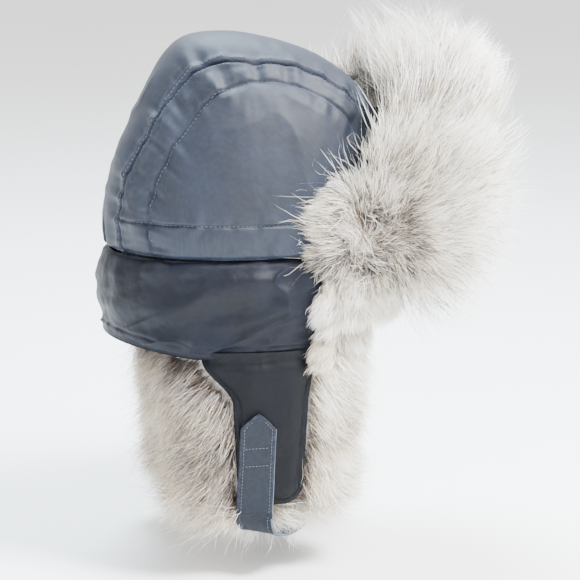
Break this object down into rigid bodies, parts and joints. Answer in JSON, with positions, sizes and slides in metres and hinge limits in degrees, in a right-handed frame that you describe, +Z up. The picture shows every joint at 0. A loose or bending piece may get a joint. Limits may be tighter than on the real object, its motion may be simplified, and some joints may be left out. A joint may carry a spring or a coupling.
{
  "type": "trapper hat",
  "caption": "Padded nylon trapper hat with a turned-up fur visor, fur-lined ear flaps that fold up, and a chin strap.",
  "frame": {"origin": "centre of the head opening, level with the brow edge", "axes": "+X to the wearer's front, +Y to the wearer's left, +Z up"},
  "size_m": [0.323, 0.201, 0.3947],
  "materials": {
    "shell_nylon": "fine plain-weave nylon with a slight sheen",
    "polyester_padding": "soft white wadding",
    "quilted_lining": "smooth dark satin, quilted",
    "brushed_sweatband": "brushed tricot",
    "label_satin": "blank woven satin",
    "fur": "long cream, grey and tan fur",
    "stiffener_foam": "closed felted foam",
    "hook_tape": "hook tape",
    "loop_tape": "loop tape",
    "strap_backing": "nylon with a pale folded edge"
  },
  "bodies": {
    "root": {"crown_centre_panel": "shell_nylon", "crown_side_panel_right": "shell_nylon", "crown_side_panel_left": "shell_nylon", "crown_padding": "polyester_padding", "crown_lining": "quilted_lining", "band_shell": "shell_nylon", "forehead_panel": "shell_nylon", "band_padding": "polyester_padding", "band_lining": "quilted_lining", "sweatband": "brushed_sweatband", "care_label": "label_satin", "temple_fur_right": "fur", "temple_fur_left": "fur"},
    "visor": {"visor_shell": "shell_nylon", "visor_stiffener": "stiffener_foam", "visor_fur": "fur"},
    "ear_flap_right": {"ear_flap_shell_right": "shell_nylon", "ear_flap_padding_right": "polyester_padding", "ear_flap_fur_right": "fur", "chin_strap_end": "shell_nylon", "hook_patch": "hook_tape", "loop_patch": "loop_tape"},
    "ear_flap_left": {"ear_flap_shell_left": "shell_nylon", "ear_flap_padding_left": "polyester_padding", "ear_flap_fur_left": "fur", "chin_strap_stub": "shell_nylon"},
    "chin_strap": {"chin_strap_outer": "shell_nylon", "chin_strap_backing": "strap_backing"}
  },
  "joints": [
    {"name": "visor_fold", "type": "hinge", "parent": "root", "child": "visor", "pos_m": [0.119, 0, 0], "axis": [0, 1, 0], "range_deg": [0, 100]},
    {"name": "ear_flap_fold_right", "type": "hinge", "parent": "root", "child": "ear_flap_right", "pos_m": [0.006, -0.092, -0.03], "axis": [-1, 0, 0], "range_deg": [0, 160]},
    {"name": "ear_flap_fold_left", "type": "hinge", "parent": "root", "child": "ear_flap_left", "pos_m": [0.006, 0.092, -0.03], "axis": [1, 0, 0], "range_deg": [0, 160]},
    {"name": "chin_strap_swing", "type": "hinge", "parent": "ear_flap_right", "child": "chin_strap", "pos_m": [-0.013, -0.0937, -0.1515], "axis": [-1, 0, 0], "range_deg": [0, 80]}
  ]
}
